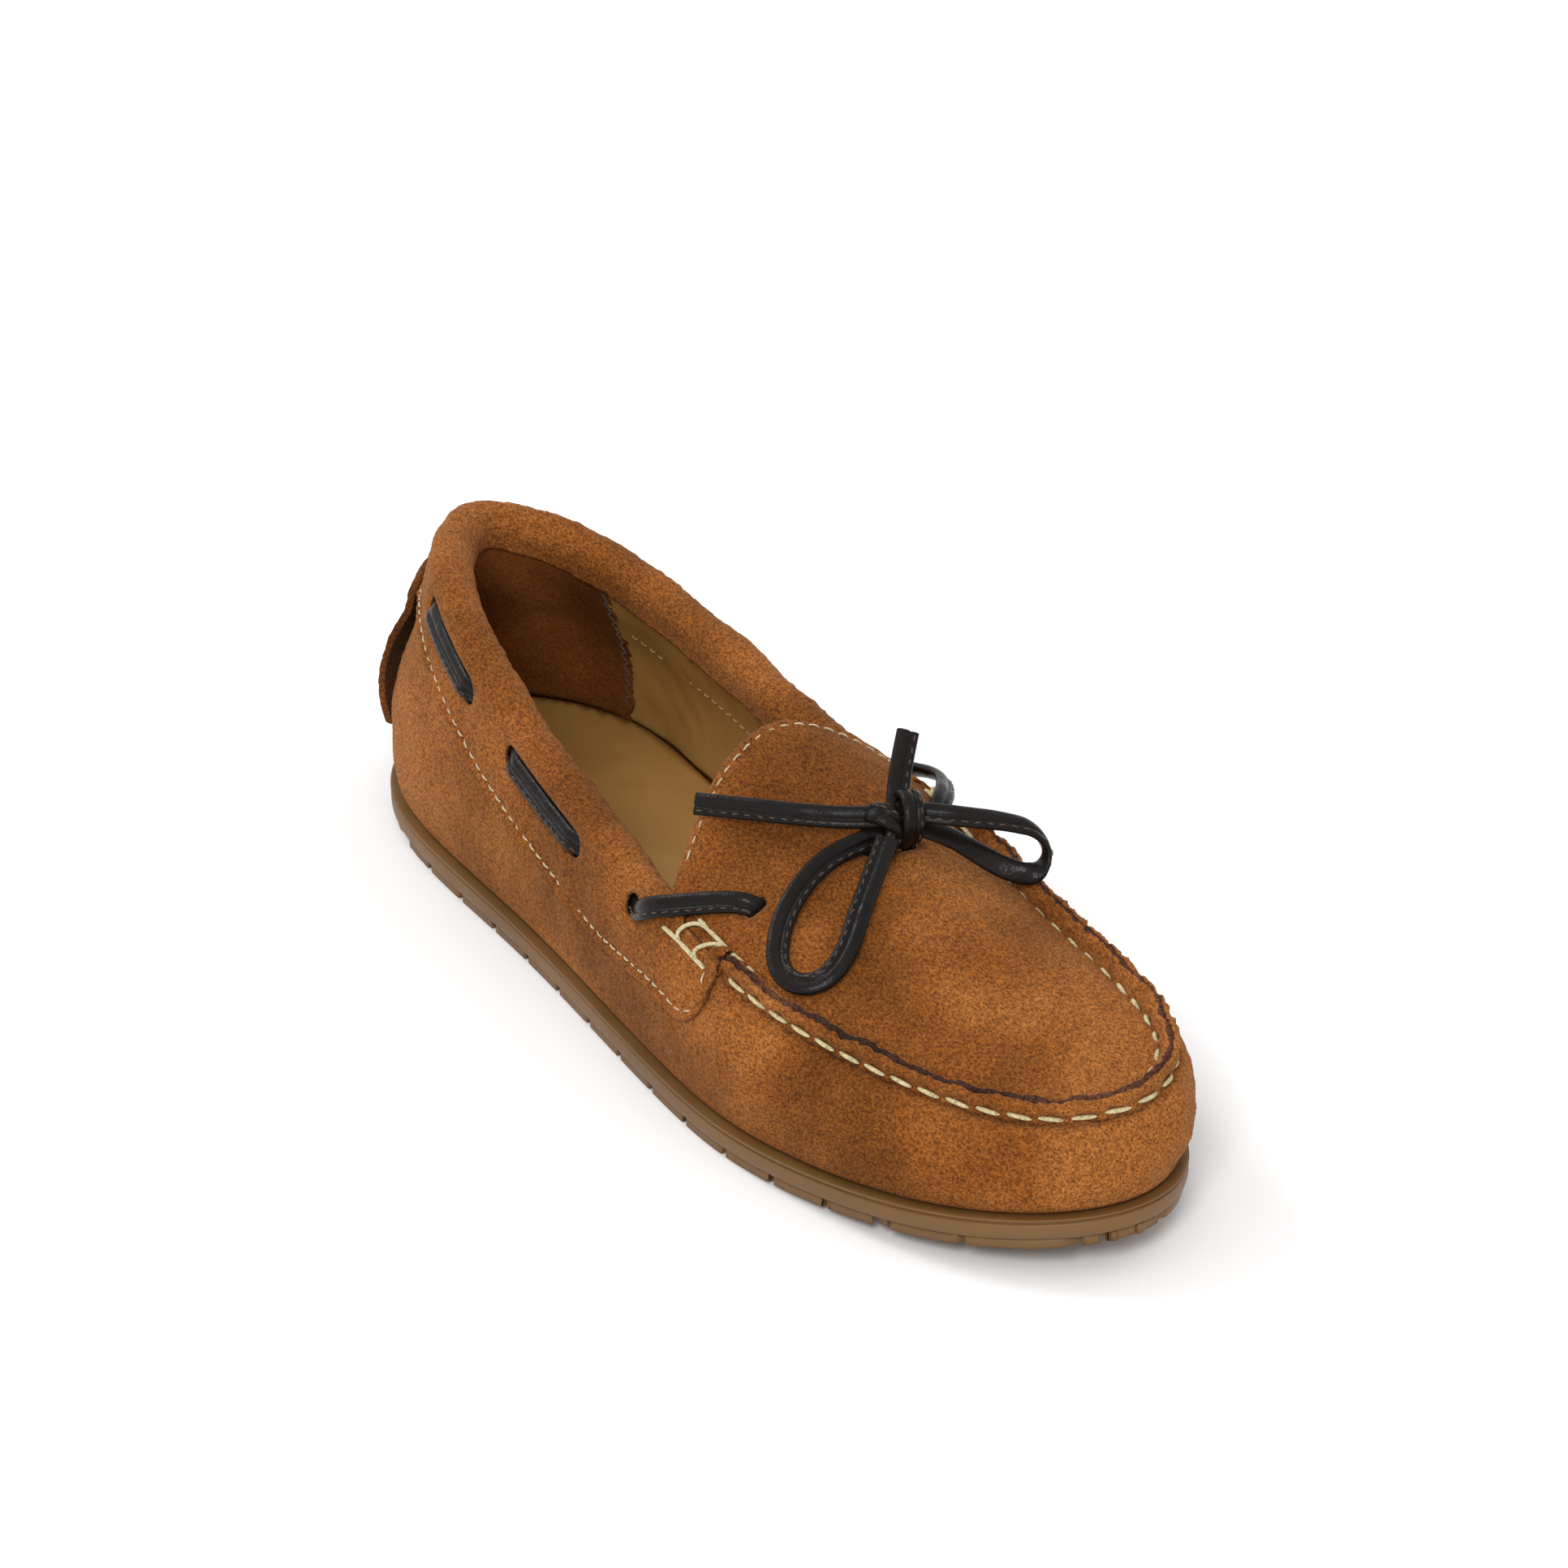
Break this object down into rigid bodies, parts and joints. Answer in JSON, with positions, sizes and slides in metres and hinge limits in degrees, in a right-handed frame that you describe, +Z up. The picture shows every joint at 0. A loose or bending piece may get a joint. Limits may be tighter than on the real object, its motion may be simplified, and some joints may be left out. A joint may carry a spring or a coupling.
{
  "type": "moccasin",
  "caption": "Right-foot suede driving moccasin with stitched apron toe, padded collar threaded with a flat leather lace tied in a bow, and a treaded rubber sole.",
  "frame": {"origin": "on the ground, at the centre of the shoe's plan box", "axes": "+Z up, +Y towards the heel, -Y towards the toe, -X towards the outer side of a right shoe"},
  "size_m": [0.083, 0.2643, 0.0712],
  "materials": {
    "gum_rubber": "moulded gum rubber, satin",
    "cork_filler": "pressed cork",
    "fibre_board": "pressed fibre board",
    "foam": "open-cell foam",
    "lining_leather": "smooth matt lining leather",
    "suede": "napped suede, short mottled pile",
    "heel_suede": "napped suede, darker, inside the heel",
    "dark_suede": "napped suede, darker",
    "stiffener": "stiffened felt",
    "thick_thread": "waxed beige thread",
    "lace_leather": "folded and stitched lace leather, glossy dark brown"
  },
  "bodies": {
    "root": {"outsole": "gum_rubber", "midsole_filler": "cork_filler", "insole_board": "fibre_board", "footbed_foam": "foam", "sock_lining": "lining_leather", "vamp_wrap": "suede", "toe_puff": "stiffener", "heel_counter": "stiffener", "vamp_lining": "lining_leather", "quarter_lining_lateral": "lining_leather", "quarter_lining_medial": "lining_leather", "heel_lining": "heel_suede", "collar_band": "suede", "collar_foam": "foam", "apron": "suede", "tongue_lining": "lining_leather", "heel_tab": "dark_suede", "apron_stitching": "thick_thread", "throat_stitching_lateral": "thick_thread", "throat_stitching_medial": "thick_thread", "lace_collar_run": "lace_leather", "lace_tie_lateral": "lace_leather", "lace_tie_medial": "lace_leather", "lace_knot": "lace_leather", "lace_loop_lateral": "lace_leather", "lace_loop_medial": "lace_leather", "lace_end_lateral": "lace_leather", "lace_end_medial": "lace_leather"}
  },
  "joints": []
}
